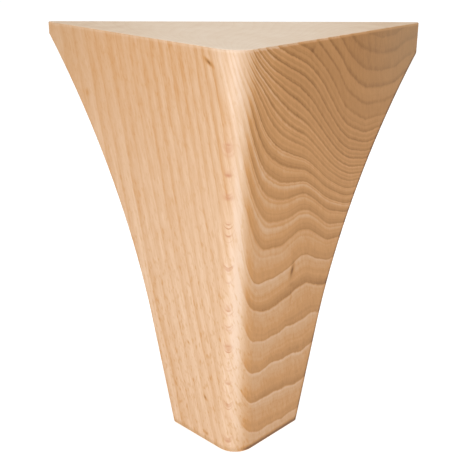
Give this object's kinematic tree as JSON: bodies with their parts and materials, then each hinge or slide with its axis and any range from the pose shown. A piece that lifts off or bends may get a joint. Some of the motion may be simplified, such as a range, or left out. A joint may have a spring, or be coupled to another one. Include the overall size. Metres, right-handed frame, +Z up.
{
  "type": "wooden furniture leg",
  "caption": "Solid beech corner leg for furniture: flat outer faces meet at a rounded front corner, and a scooped back narrows the wide top mounting face to a small foot.",
  "frame": {"origin": "middle of the top mounting face, the centroid of its triangle", "axes": "+Z up, out of the top mounting face; +Y from the front corner to the back; +X along the back edge, to the right as seen from the front corner"},
  "size_m": [0.1436, 0.0696, 0.15],
  "materials": {
    "beech": "bare sanded wood, matt"
  },
  "bodies": {
    "root": {"leg": "beech"}
  },
  "joints": []
}
